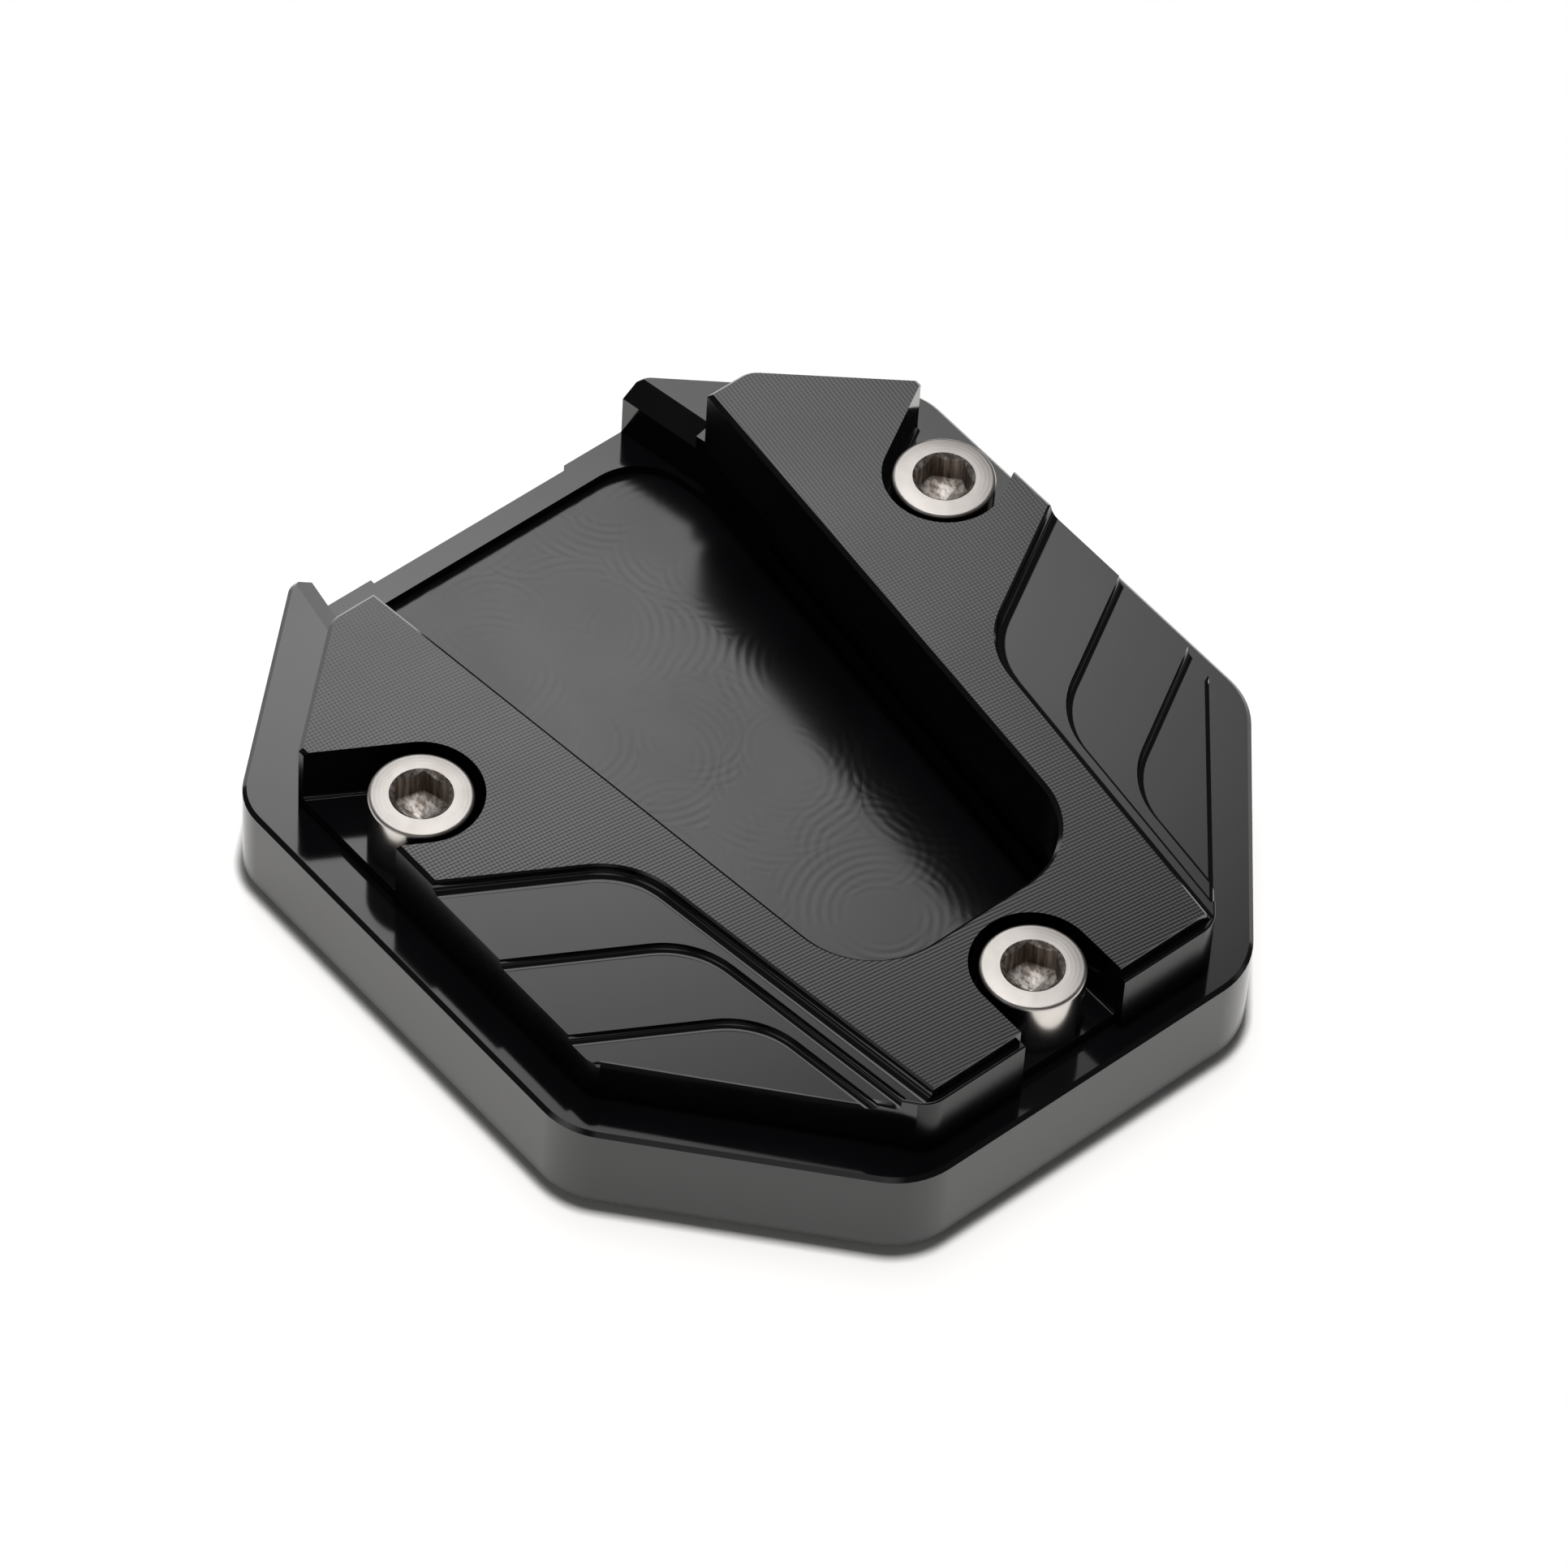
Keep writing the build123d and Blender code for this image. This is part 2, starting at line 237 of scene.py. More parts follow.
class ScrewSizes(PropertyGroup):
    """The socket-head cap screws."""

    head_diameter: FloatProperty(
        name="Head", description="Diameter of the head", unit="LENGTH", default=9.9 * MM,
    )
    head_height: FloatProperty(
        name="Head height", description="Height of the head", unit="LENGTH", default=6.4 * MM,
    )
    head_rise: FloatProperty(
        name="Head rise", description="How far the top of the head rises from its edge to the socket",
        unit="LENGTH", default=0.08 * MM,
    )
    head_edge: FloatProperty(
        name="Head edge", description="Radius of the head's upper edge", unit="LENGTH", default=0.35 * MM,
    )
    socket_flats: FloatProperty(
        name="Socket", description="Width across the flats of the hexagon socket",
        unit="LENGTH", default=5.0 * MM,
    )
    socket_mouth: FloatProperty(
        name="Socket mouth", description="Diameter of the socket's countersunk mouth",
        unit="LENGTH", default=6.0 * MM,
    )
    socket_depth: FloatProperty(
        name="Socket depth", description="Depth of the socket's flats", unit="LENGTH", default=3.0 * MM,
    )
    socket_tip: FloatProperty(
        name="Socket tip", description="Depth of the drilled cone under the flats",
        unit="LENGTH", default=0.9 * MM,
    )
    shank_diameter: FloatProperty(
        name="Shank", description="Diameter of the shank", unit="LENGTH", default=5.9 * MM,
    )
    point: FloatProperty(
        name="Point", description="Chamfer at the end of the shank", unit="LENGTH", default=0.8 * MM,
    )
    turns: FloatVectorProperty(
        name="Turns", description="How far the left, right and front screw were turned", unit="ROTATION",
        size=3, default=(math.radians(17.0), math.radians(40.0), math.radians(30.0)),
    )
    steel: FloatVectorProperty(
        name="Steel", description="Colour of the steel", subtype="COLOR", size=4,
        min=0.0, max=1.0, default=linear("#e2ddd9"),
    )
    steel_stained: FloatVectorProperty(
        name="Stained steel", description="Colour of the steel where it is stained", subtype="COLOR", size=4,
        min=0.0, max=1.0, default=linear("#cbc4be"),
    )
    polish: FloatProperty(
        name="Roughness", description="Roughness of the head's turned top", subtype="FACTOR",
        min=0.0, max=1.0, default=0.38,
    )
    side_polish: FloatProperty(
        name="Side roughness", description="Roughness of the head's ground side", subtype="FACTOR",
        min=0.0, max=1.0, default=0.14,
    )
    socket_polish: FloatProperty(
        name="Socket roughness", description="Roughness of the broached socket", subtype="FACTOR",
        min=0.0, max=1.0, default=0.42,
    )
    socket_pale: FloatVectorProperty(
        name="Socket colour", description="Colour of the socket's flats", subtype="COLOR", size=4,
        min=0.0, max=1.0, default=linear("#efe8e2"),
    )
    # Dark brown of the streaks: partly broach marks, partly painted shade and reflection inside the socket
    socket_streak_shade: FloatVectorProperty(
        name="Socket streaks", description="Colour of the streaks in the socket", subtype="COLOR", size=4,
        min=0.0, max=1.0, default=linear("#97887c"),
    )
    turning_pitch: FloatProperty(
        name="Turning pitch", description="Spacing of the lathe's rings", unit="LENGTH", default=0.4 * MM,
    )


class StageSettings(PropertyGroup):
    """Floor, room and camera."""

    floor: FloatVectorProperty(
        name="Floor", description="Colour of the floor", subtype="COLOR", size=4,
        min=0.0, max=1.0, default=linear("#f7f6f4"),
    )
    card: FloatProperty(
        name="Card", description="Width of the white card under the object", unit="LENGTH", default=0.8,
    )
    room: FloatProperty(
        name="Room", description="Brightness of the dim room round the card", default=0.06, min=0.0,
    )
    shadow_reach: FloatProperty(
        name="Shadow reach", description="How far from the middle the floor takes shadow", unit="LENGTH",
        default=60.0 * MM,
    )
    azimuth: FloatProperty(
        name="Azimuth", description="Camera's bearing, with 0 looking along +Y", unit="ROTATION",
        default=math.radians(-42.81),
    )
    elevation: FloatProperty(
        name="Elevation", description="Camera's height above the horizon", unit="ROTATION",
        default=math.radians(51.06),
    )
    roll: FloatProperty(
        name="Roll", description="Camera's tilt about its own axis", unit="ROTATION",
        default=math.radians(3.99),
    )
    distance: FloatProperty(
        name="Distance", description="Camera's distance from the target", unit="LENGTH", default=872.2 * MM,
    )
    target: FloatVectorProperty(
        name="Target", description="Point in the middle of the picture", subtype="TRANSLATION", unit="LENGTH",
        default=(-0.13 * MM, -1.98 * MM, 11.0 * MM),
    )
    lens: FloatProperty(
        name="Lens", description="Focal length on a 36 mm sensor, in millimetres", default=215.8,
    )


class FootSettings(PropertyGroup):
    """All settings of the foot enlarger."""

    plates: PointerProperty(type=PlateFinish)
    screws: PointerProperty(type=ScrewSizes)
    stage: PointerProperty(type=StageSettings)


def object_mode_clear():
    """Leaves edit mode and selects nothing."""
    if bpy.context.object is not None and bpy.context.object.mode != "OBJECT":
        bpy.ops.object.mode_set(mode="OBJECT")
    bpy.ops.object.select_all(action="DESELECT")


def take(obj):
    """Makes obj the only selected object."""
    object_mode_clear()
    obj.select_set(True)
    bpy.context.view_layer.objects.active = obj


def copy_of(obj, name):
    """A copy of obj under a name of its own, which is then the only selected object."""
    take(obj)
    bpy.ops.object.duplicate()
    copy = bpy.context.object
    copy.name = name
    copy.data.name = name
    return copy


def choose(obj, kind, test):
    """In edit mode, selects the faces or edges that pass a test of their place or normal."""
    bpy.ops.mesh.select_mode(type=kind)
    bpy.ops.mesh.select_all(action="DESELECT")
    mesh = bmesh.from_edit_mesh(obj.data)
    found = [item for item in (mesh.faces if kind == "FACE" else mesh.edges) if test(item)]
    if not found:
        raise RuntimeError(f"{obj.name}: nothing was found to shape")
    for item in found:
        item.select_set(True)
    bmesh.update_edit_mesh(obj.data)


def smooth_curves(obj, angle):
    """Shades the curved walls smooth and keeps the flat faces flat."""
    take(obj)
    bpy.ops.object.shade_smooth_by_angle(angle=angle)
    flat = obj.modifiers.new("flat faces", "WEIGHTED_NORMAL")
    flat.keep_sharp = True
    bpy.ops.object.modifier_apply(modifier=flat.name)


def towards(azimuth, elevation):
    """The direction from the object to this bearing and height, which are in radians."""
    level = math.cos(elevation)
    return Vector((math.sin(azimuth) * level, -math.cos(azimuth) * level, math.sin(elevation)))


def add_node(tree, kind, inputs=None, **settings):
    """Adds a node, sets its properties and sets or links its inputs."""
    node = tree.nodes.new("ShaderNode" + kind)
    for key, value in settings.items():
        setattr(node, key, value)
    for key, value in (inputs or {}).items():
        if isinstance(value, bpy.types.NodeSocket):
            tree.links.new(value, node.inputs[key])
        else:
            node.inputs[key].default_value = value
    return node


def calculate(tree, operation, *values, **settings):
    """The result of one sum on numbers or sockets."""
    node = add_node(tree, "Math", dict(enumerate(values)), operation=operation, **settings)
    return node.outputs["Value"]


def remap(tree, value, source=(0.0, 1.0), target=(0.0, 1.0), **settings):
    """A value carried from one range to another and held inside it."""
    ends = {"From Min": source[0], "From Max": source[1], "To Min": target[0], "To Max": target[1]}
    return add_node(tree, "MapRange", {"Value": value, **ends}, **settings).outputs["Result"]


def mix(tree, kind, factor, first, second):
    """A mix of two numbers or two colours."""
    low, high, result = MIX_SOCKETS[kind]
    return add_node(tree, "Mix", {0: factor, low: first, high: second}, data_type=kind).outputs[result]


def noise(tree, place, size, detail):
    """Smooth noise with blotches of about this size."""
    blotches = {"Vector": place, "Scale": 1.0 / size, "Detail": detail}
    return add_node(tree, "TexNoise", blotches).outputs["Fac"]


def raised(tree, height, depth, normal=None):
    """The normal of a surface with this relief, on top of another normal where one is given."""
    relief = {"Height": height, "Strength": 1.0, "Distance": depth}
    if normal is not None:
        relief["Normal"] = normal
    return add_node(tree, "Bump", relief).outputs["Normal"]


def empty_material(name):
    """A material with an empty tree, and that tree."""
    material = bpy.data.materials.new(name)
    material.use_nodes = True
    material.node_tree.nodes.clear()
    return material, material.node_tree


def shade(tree, inputs):
    """Ends a material's tree in one principled shader."""
    shader = add_node(tree, "BsdfPrincipled", inputs)
    add_node(tree, "OutputMaterial", {"Surface": shader.outputs["BSDF"]})


def anodised(name, finish, dye, gloss, index, marks=None):
    """Black anodised aluminium: a thin dyed oxide, sealed, so that it is nearly black and mirrors softly.
    marks draws the cutter's own pattern and gives its height and its depth."""
    material, tree = empty_material(name)
    place = add_node(tree, "TexCoord").outputs["Object"]
    mm = add_node(tree, "Mapping", {"Vector": place, "Scale": (1 / MM,) * 3}).outputs["Vector"]
    cloud = noise(tree, mm, CLOUD_SIZE, detail=3.0)
    grain = noise(tree, mm, GRAIN_SIZE, detail=1.0)
    normal = raised(tree, grain, GRAIN_DEPTH)
    if marks:
        height, depth = marks(tree, mm, finish)
        normal = raised(tree, height, depth, normal)
    shade(tree, {
        "Base Color": mix(tree, "RGBA", cloud, dye, finish.dye_worn),
        "Roughness": remap(tree, cloud, CLOUD_RANGE, (gloss - GLOSS_SPREAD, gloss + GLOSS_SPREAD)),
        "IOR": index,
        "Normal": normal,
    })
    return material


def face_mill_hatch(tree, mm, finish):
    """Fine crossing lines that the face mill leaves, drawn a little coarser than real so that they show."""
    lines = []
    for angle in HATCH_ANGLES:
        turned = add_node(tree, "Mapping", {"Vector": mm, "Rotation": (0.0, 0.0, math.radians(angle))})
        wave = {
            "Vector": turned.outputs["Vector"],
            "Scale": WAVE_LENGTH / (finish.hatch_pitch / MM),
            "Distortion": 0.6,
            "Detail": 1.0,
            "Detail Scale": 0.4,
        }
        lines.append(add_node(tree, "TexWave", wave).outputs["Fac"])
    return calculate(tree, "ADD", *lines), finish.hatch_depth


def end_mill_swirls(tree, mm, finish):
    """Overlapping arcs that the end mill leaves on the pocket floor, fainter in some places."""
    spacing = finish.swirl_spacing / MM
    fade = [share * spacing for share in SWIRL_FADE]
    passes = []
    for shift, grow in SWIRL_PASSES:
        moved = add_node(tree, "Mapping", {"Vector": mm, "Location": shift}).outputs["Vector"]
        centres = add_node(
            tree, "TexVoronoi", {"Vector": moved, "Scale": 1.0 / (grow * spacing), "Randomness": 0.8},
            voronoi_dimensions="2D",
        )
        reach = calculate(tree, "MULTIPLY", centres.outputs["Distance"], grow * spacing)
        waves = calculate(tree, "MULTIPLY", reach, 2.0 * math.pi / (finish.swirl_pitch / MM))
        rings = calculate(tree, "SINE", waves)
        outer = remap(tree, reach, fade)
        shown = remap(tree, noise(tree, moved, PATCH_SIZE, detail=2.0), PATCH_RANGE)
        arcs = calculate(tree, "MULTIPLY", outer, shown)
        passes.append(calculate(tree, "MULTIPLY", rings, arcs))
    return calculate(tree, "ADD", *passes), finish.swirl_depth


def turned_steel(name, screws, polish):
    """Stainless steel turned on a lathe: a pale warm metal with fine rings round the screw's own axis."""
    material, tree = empty_material(name)
    place = add_node(tree, "Attribute", attribute_name="from_axis").outputs["Vector"]
    wave = {
        "Vector": place,
        "Scale": WAVE_LENGTH / (screws.turning_pitch / MM),
        "Distortion": 1.0,
        "Detail": 2.0,
    }
    rings = add_node(tree, "TexWave", wave, wave_type="RINGS", rings_direction="Z").outputs["Fac"]
    stain = noise(tree, place, STAIN_SIZE, detail=3.0)
    shade(tree, {
        "Base Color": mix(tree, "RGBA", stain, screws.steel, screws.steel_stained),
        "Metallic": 1.0,
        "Roughness": remap(tree, stain, target=(polish - POLISH_SPREAD, polish + POLISH_SPREAD)),
        "Normal": raised(tree, rings, RING_DEPTH),
    })
    return material


def broached_steel(name, screws):
    """Steel torn by the broach: a rough metal with streaks along the flats, whose dark brown is partly
    painted shade and reflection inside the socket.
    """
    material, tree = empty_material(name)
    place = add_node(tree, "Attribute", attribute_name="from_axis").outputs["Vector"]
    narrow = (1 / STREAK_WIDTH, 1 / STREAK_WIDTH, 1 / STREAK_LENGTH)
    along = add_node(tree, "Mapping", {"Vector": place, "Scale": narrow}).outputs["Vector"]
    streaks = noise(tree, along, size=1.0, detail=3.0)
    pale = remap(tree, streaks, STREAK_RANGE)
    shade(tree, {
        # The dark streak colour is partly painted shade and reflection inside the socket
        "Base Color": mix(tree, "RGBA", pale, screws.socket_streak_shade, screws.socket_pale),
        "Metallic": 1.0,
        "Roughness": screws.socket_polish,
        "Normal": raised(tree, streaks, STREAK_DEPTH),
    })
    return material


def seen_ray(tree):
    """One for rays that show a surface to the eye, straight, mirrored or through glass, and else none."""
    path = add_node(tree, "LightPath").outputs
    bent = calculate(tree, "ADD", path["Is Glossy Ray"], path["Is Transmission Ray"])
    return calculate(tree, "ADD", path["Is Camera Ray"], bent, use_clamp=True)


def white_card(name, stage):
    """Matt white card: it takes the object's shadow close by, and further off it looks plain white."""
    material, tree = empty_material(name)
    place = add_node(tree, "TexCoord").outputs["Object"]
    away = add_node(tree, "VectorMath", {0: place}, operation="LENGTH").outputs["Value"]
    fade = (stage.shadow_reach, 2.0 * stage.shadow_reach)
    plain = remap(tree, away, fade, interpolation_type="SMOOTHSTEP")
    seen = calculate(tree, "MULTIPLY", plain, seen_ray(tree))
    card = add_node(tree, "BsdfDiffuse", {"Color": stage.floor}).outputs["BSDF"]
    white = add_node(tree, "Emission", {"Color": linear("#ffffff"), "Strength": 1.0}).outputs["Emission"]
    mixed = add_node(tree, "MixShader", {0: seen, 1: card, 2: white})
    add_node(tree, "OutputMaterial", {"Surface": mixed.outputs["Shader"]})
    return material


def plate_from_solid(node, name):
    """A copy of a machined solid, with the triangles of each flat face joined into one."""
    plate = copy_of(frame["nodes"][node], name)
    del plate["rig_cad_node"]
    plate.data.materials.clear()
    bpy.ops.object.mode_set(mode="EDIT")
    bpy.ops.mesh.select_all(action="SELECT")
    bpy.ops.mesh.remove_doubles(threshold=JOIN_DISTANCE)
    bpy.ops.mesh.dissolve_limited(angle_limit=FLAT_WITHIN)
    bpy.ops.object.mode_set(mode="OBJECT")
    bpy.ops.mesh.customdata_custom_splitnormals_clear()
    return plate


def finish_faces(piece, finish, others):
    """Gives the piece one finish all over, then each other finish on the faces that pass its test."""
    take(piece)
    piece.data.materials.append(finish)
    for index, (material, test) in enumerate(others, start=1):
        piece.data.materials.append(material)
        bpy.ops.object.mode_set(mode="EDIT")
        choose(piece, "FACE", test)
        piece.active_material_index = index
        bpy.ops.object.material_slot_assign()
        bpy.ops.object.mode_set(mode="OBJECT")


class FOOT_OT_base_plate(Operator):
    """Finishes the base plate, with the end mill's swirls on its pocket floor"""

    bl_idname = "foot.base_plate"
    bl_label = "Base plate"

    def execute(self, context):
        finish = context.scene.foot.plates
        plate = plate_from_solid("base_plate", "base_plate_machined")
        smooth_curves(plate, PLATE_SMOOTHING)
        milled = anodised(
            "black anodised aluminium, pocket milled",
            finish, finish.dye, finish.pocket_gloss, finish.oxide_index, end_mill_swirls,
        )
        rest = anodised(
            "black anodised aluminium, side milled", finish, finish.dye, finish.gloss, finish.oxide_index
        )
        finish_faces(
            plate,
            rest,
            [(milled, lambda face: face.normal.z > LEVEL and face.calc_center_median().z < pocket_level)],
        )
        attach(plate, BODY)
        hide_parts("base_plate")
        return {"FINISHED"}


class FOOT_OT_clamp_plate(Operator):
    """Finishes the clamp plate, with the face mill's hatching on its top"""

    bl_idname = "foot.clamp_plate"
    bl_label = "Clamp plate"

    def execute(self, context):
        finish = context.scene.foot.plates
        plate = plate_from_solid("clamp_plate", "clamp_plate_machined")
        self.break_edges(plate, finish.broken_edge)
        smooth_curves(plate, PLATE_SMOOTHING)
        milled = anodised(
            "black anodised aluminium, face milled",
            finish, finish.crown_dye, finish.crown_gloss, finish.oxide_index, face_mill_hatch,
        )
        walls = anodised(
            "black anodised aluminium, profile milled",
            finish, finish.dye, finish.wall_gloss, finish.wall_index,
        )
        terraces = anodised(
            "black anodised aluminium, terraces", finish, finish.dye, finish.gloss, finish.oxide_index
        )
        finish_faces(
            plate,
            terraces,
            [
                (milled, lambda face: face.normal.z > LEVEL and face.calc_center_median().z > crown_level),
                (walls, lambda face: abs(face.normal.z) < STEEP and face.calc_center_median().z < wall_level),
            ],
        )
        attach(plate, BODY)
        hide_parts("clamp_plate")
        return {"FINISHED"}

    def break_edges(self, plate, size):
        """Breaks the sharp upper edges of the slanted flanks, where the terraces end."""
        # Limits on the parts of a flank's normal, and on the height of a ledge's
        sideways, forwards, lean, flat = 0.6, 0.5, 0.01, 0.999

        def sharp(edge):
            if len(edge.link_faces) != 2 or not edge.is_convex:
                return False
            wall, ledge = sorted(edge.link_faces, key=lambda face: face.normal.z)
            slanted = abs(wall.normal.x) > sideways and wall.normal.y < -forwards
            upright = abs(wall.normal.z) < lean
            outer = min(vert.co.z for vert in wall.verts) < foot_level
            return slanted and upright and outer and ledge.normal.z > flat

        take(plate)
        bpy.ops.object.mode_set(mode="EDIT")
        choose(plate, "EDGE", sharp)
        bpy.ops.mesh.bevel(offset=size, segments=2, affect="EDGES")
        bpy.ops.mesh.region_to_loop()
        bpy.ops.mesh.mark_sharp()
        bpy.ops.object.mode_set(mode="OBJECT")


class FOOT_OT_cap_screws(Operator):
    """Turns one cap screw, with its hexagon socket, and sets three of them in their slots"""

    bl_idname = "foot.cap_screws"
    bl_label = "Cap screws"

    def execute(self, context):
        sizes = context.scene.foot.screws
        screw = self.turn_screw(sizes)
        self.cut_socket(screw, sizes)
        smooth_curves(screw, SCREW_SMOOTHING)
        axis = screw.data.attributes.new("from_axis", "FLOAT_VECTOR", "POINT")
        axis.data.foreach_set("vector", [c / MM for v in screw.data.vertices for c in v.co])
        self.finish_steel(screw, sizes)
        reach = sizes.head_diameter / 2.0
        seat = screws_high.z - sizes.head_height
        spots = {
            "cap_screw_left": (screws_low.x + reach, screws_high.y - reach, seat),
            "cap_screw_right": (screws_high.x - reach, screws_high.y - reach, seat),
            "cap_screw_front": (0.0, screws_low.y + reach, seat),
        }
        for (name, spot), turn in zip(spots.items(), sizes.turns):
            placed = copy_of(screw, name)
            placed.rotation_euler = (0.0, 0.0, turn)
            placed.location = spot
            bpy.ops.object.transform_apply(location=True, rotation=True, scale=True)
            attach(placed, BODY)
            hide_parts("cap_screws")
        take(screw)
        bpy.ops.object.delete()
        return {"FINISHED"}

    def turn_screw(self, sizes):
        """Head and shank, turned from one bar, with the seat of the head at the origin."""
        head_r = sizes.head_diameter / 2.0
        shank_r = sizes.shank_diameter / 2.0
        length = screws_high.z - sizes.head_height - screws_low.z
        shoulder = sizes.head_height - sizes.head_rise
        tiny = 0.01 * MM
        object_mode_clear()
        bpy.ops.mesh.primitive_cylinder_add(
            vertices=ROUND_SIDES, radius=head_r, depth=shoulder, location=(0.0, 0.0, shoulder / 2.0)
        )
        screw = bpy.context.object
        bpy.ops.object.transform_apply(location=True, rotation=True, scale=True)
        bpy.ops.object.mode_set(mode="EDIT")
        choose(screw, "EDGE", lambda e: all(v.co.z > shoulder - tiny for v in e.verts))
        bpy.ops.mesh.bevel(offset=sizes.head_edge, segments=EDGE_FACETS, affect="EDGES")
        choose(screw, "FACE", lambda f: f.normal.z > LEVEL and f.calc_center_median().z > shoulder - tiny)
        bpy.ops.mesh.inset(thickness=head_r - sizes.head_edge - sizes.socket_mouth / 2.0 - MOUTH_MARGIN)
        bpy.ops.transform.translate(value=(0.0, 0.0, sizes.head_rise))
        choose(screw, "FACE", lambda f: f.normal.z < -LEVEL)
        bpy.ops.mesh.inset(thickness=head_r - shank_r)
        bpy.ops.mesh.extrude_region_move(TRANSFORM_OT_translate={"value": (0.0, 0.0, -length)})
        choose(screw, "EDGE", lambda e: all(v.co.z < tiny - length for v in e.verts))
        bpy.ops.mesh.bevel(offset=sizes.point, segments=1, affect="EDGES")
        bpy.ops.object.mode_set(mode="OBJECT")
        return screw

    def cut_socket(self, screw, sizes):
        """Sinks the hexagon socket with its drilled tip and its countersunk mouth."""
        corner_r = sizes.socket_flats / math.sqrt(3.0)
        mouth_r = sizes.socket_mouth / 2.0
        top = sizes.head_height
        # Half of each tool stands over the head: the broach reaches the depth of the flats, and the cone is
        # as wide as the mouth where it meets the top
        object_mode_clear()
        bpy.ops.mesh.primitive_cylinder_add(
            vertices=6, radius=corner_r, depth=2.0 * sizes.socket_depth, location=(0.0, 0.0, top)
        )
        broach = bpy.context.object
        bpy.ops.object.transform_apply(location=True, rotation=True, scale=True)
        bpy.ops.object.mode_set(mode="EDIT")
        choose(broach, "FACE", lambda f: f.normal.z < -LEVEL)
        bpy.ops.mesh.extrude_region_move(TRANSFORM_OT_translate={"value": (0.0, 0.0, -sizes.socket_tip)})
        bpy.ops.transform.resize(
            value=(TIP_SHARE, TIP_SHARE, 1.0), center_override=(0.0, 0.0, top - sizes.socket_depth)
        )
        bpy.ops.object.mode_set(mode="OBJECT")
        self.cut(screw, broach)
        object_mode_clear()
        bpy.ops.mesh.primitive_cone_add(
            vertices=ROUND_SIDES, radius1=0.0, radius2=2.0 * mouth_r, depth=2.0 * mouth_r,
            location=(0.0, 0.0, top),
        )
        self.cut(screw, bpy.context.object)

    def cut(self, screw, tool):
        """Takes the tool's shape out of the screw and removes the tool."""
        take(screw)
        cutting = screw.modifiers.new("cut", "BOOLEAN")
        cutting.operation = "DIFFERENCE"
        cutting.solver = "EXACT"
        cutting.object = tool
        bpy.ops.object.modifier_apply(modifier=cutting.name)
        take(tool)
        bpy.ops.object.delete()

    def finish_steel(self, screw, sizes):
        """Turned steel all over, ground on the side of the head and broached in the socket."""
        side = SIDE_SHARE * (sizes.head_diameter / 2.0)
        mouth = sizes.socket_mouth / 2.0

        def ground(face):
            return abs(face.normal.z) < UPRIGHT and face.calc_center_median().xy.length > side

        def broached(face):
            middle = face.calc_center_median()
            return middle.xy.length < mouth and middle.z > 0.0 and face.normal.z < LEVEL

        finish_faces(
            screw,
            turned_steel("stainless steel, turned", sizes, sizes.polish),
            [
                (turned_steel("stainless steel, ground", sizes, sizes.side_polish), ground),
                (broached_steel("stainless steel, broached", sizes), broached),
            ],
        )


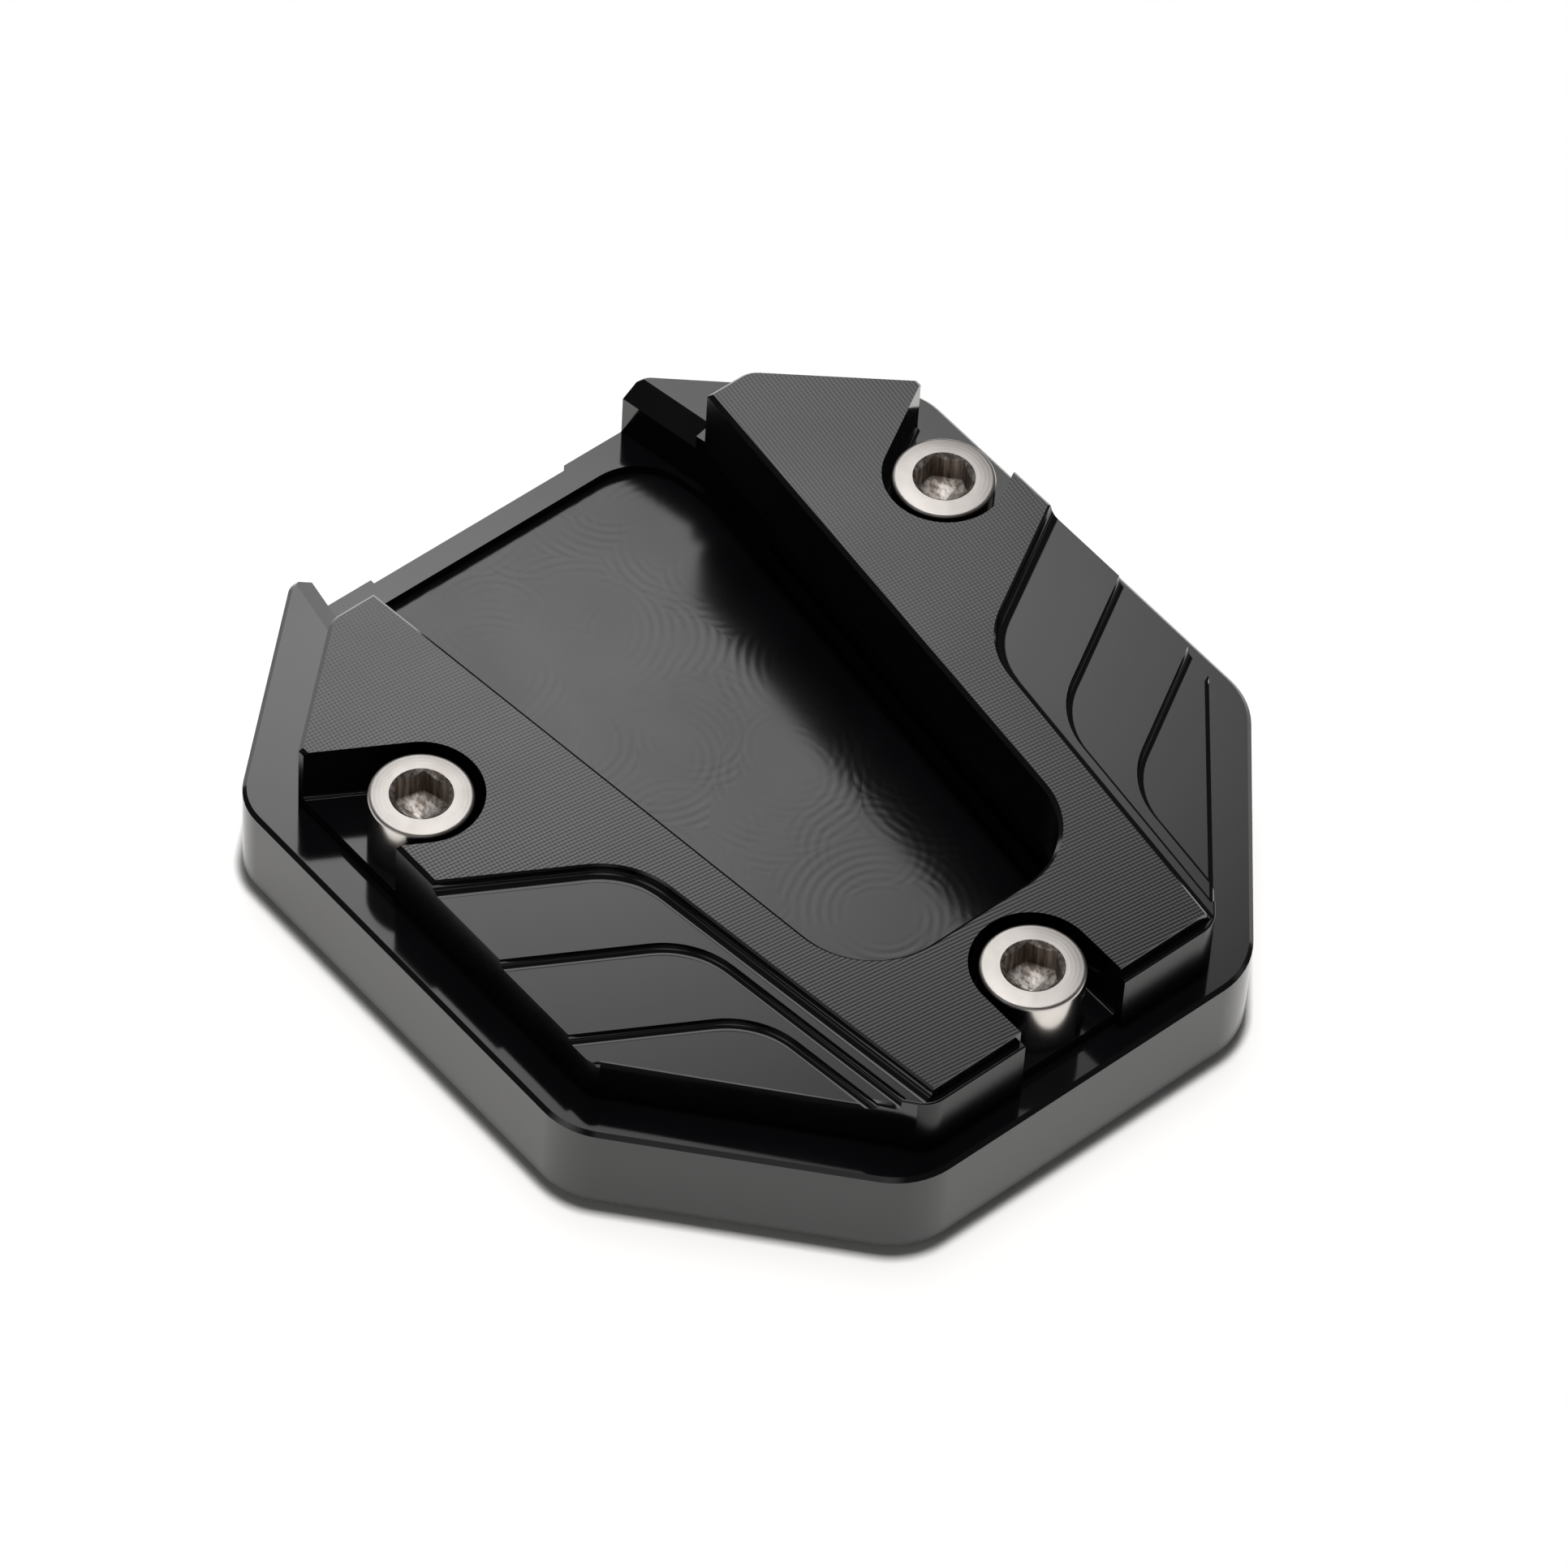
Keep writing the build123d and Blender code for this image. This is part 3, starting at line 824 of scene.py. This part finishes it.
class FOOT_OT_stage(Operator):
    """Sets the white floor, the soft lights and the camera"""

    bl_idname = "foot.stage"
    bl_label = "Floor, lights and camera"

    def execute(self, context):
        stage = context.scene.foot.stage
        context.scene.view_settings.view_transform = "Standard"
        object_mode_clear()
        bpy.ops.mesh.primitive_plane_add(size=stage.card, location=(0.0, 0.0, -FLOOR_GAP))
        floor = bpy.context.object
        floor.name = "floor"
        floor.data.materials.append(white_card("white card", stage))
        self.sky(context, stage)
        key = self.light("softbox above", *KEY_LAMP)
        key.visible_glossy = False
        self.light("softbox high", *HIGH_LAMP)
        for name, lamp in GRADED_LAMPS.items():
            self.grade(self.light(name, *lamp))
        self.camera(context, stage)
        return {"FINISHED"}

    def sky(self, context, stage):
        """A backdrop that is white to the eye, and otherwise a dim room, so that the black stays black."""
        world = context.scene.world or bpy.data.worlds.new("studio")
        context.scene.world = world
        world.use_nodes = True
        tree = world.node_tree
        tree.nodes.clear()
        eye = add_node(tree, "LightPath").outputs["Is Camera Ray"]
        level = mix(tree, "FLOAT", eye, stage.room, 1.0)
        lit = add_node(tree, "Background", {"Color": linear("#ffffff"), "Strength": level})
        add_node(tree, "OutputWorld", {"Surface": lit.outputs["Background"]})

    def light(self, name, azimuth, elevation, distance, width, height, watts):
        """An oblong softbox that faces the object."""
        spot = towards(math.radians(azimuth), math.radians(elevation)) * distance
        facing = spot.to_track_quat("Z", "Y").to_euler()
        object_mode_clear()
        bpy.ops.object.light_add(type="AREA", location=spot, rotation=facing)
        box = bpy.context.object
        box.name = name
        box.data.shape = "RECTANGLE"
        box.data.size = width
        box.data.size_y = height
        box.data.energy = watts
        return box

    def grade(self, box):
        """Makes a softbox round and brightest in its middle, as one lamp behind a cloth is."""
        middle = (0.5, 0.5, 0.0)
        rim = 0.5
        box.data.shape = "ELLIPSE"
        box.data.use_nodes = True
        tree = box.data.node_tree
        tree.nodes.clear()
        cloth = add_node(tree, "NewGeometry").outputs["Parametric"]
        away = add_node(tree, "VectorMath", {0: cloth, 1: middle}, operation="DISTANCE").outputs["Value"]
        glow = add_node(tree, "Emission", {"Strength": remap(tree, away, (0.0, rim), (1.0, 0.0))})
        add_node(tree, "OutputLight", {"Surface": glow.outputs["Emission"]})

    def camera(self, context, stage):
        """A long lens at the height and bearing of the picture."""
        back = towards(stage.azimuth, stage.elevation)
        right = Vector((0.0, 0.0, 1.0)).cross(back).normalized()
        turned = Matrix((right, back.cross(right), back)).transposed().to_4x4()
        object_mode_clear()
        bpy.ops.object.camera_add()
        camera = bpy.context.object
        camera.matrix_world = (
            Matrix.Translation(Vector(stage.target) + back * stage.distance)
            @ turned
            @ Matrix.Rotation(stage.roll, 4, "Z")
        )
        camera.data.sensor_fit = "HORIZONTAL"
        camera.data.sensor_width = SENSOR_WIDTH
        camera.data.lens = stage.lens
        camera.data.clip_start = 0.01
        camera.data.clip_end = 20.0
        context.scene.camera = camera


class FOOT_PT_parts(Panel):
    """Lists the pieces of the foot enlarger"""

    bl_label = "Foot enlarger"
    bl_idname = "FOOT_PT_parts"
    bl_space_type = "VIEW_3D"
    bl_region_type = "UI"
    bl_category = "Foot"

    def draw(self, context):
        for operator in PIECES:
            self.layout.operator(operator.bl_idname)
        for group in (context.scene.foot.plates, context.scene.foot.screws, context.scene.foot.stage):
            box = self.layout.box()
            for name in group.__annotations__:
                box.prop(group, name)


GROUPS = (PlateFinish, ScrewSizes, StageSettings, FootSettings)
PIECES = (FOOT_OT_base_plate, FOOT_OT_clamp_plate, FOOT_OT_cap_screws, FOOT_OT_stage)


def register():
    for cls in GROUPS + PIECES + (FOOT_PT_parts,):
        bpy.utils.register_class(cls)
    bpy.types.Scene.foot = PointerProperty(type=FootSettings)


def unregister():
    del bpy.types.Scene.foot
    for cls in reversed(GROUPS + PIECES + (FOOT_PT_parts,)):
        bpy.utils.unregister_class(cls)


def main():
    register()
    bpy.ops.foot.base_plate()
    bpy.ops.foot.clamp_plate()
    bpy.ops.foot.cap_screws()
    bpy.ops.foot.stage()


if __name__ == "__main__":
    main()
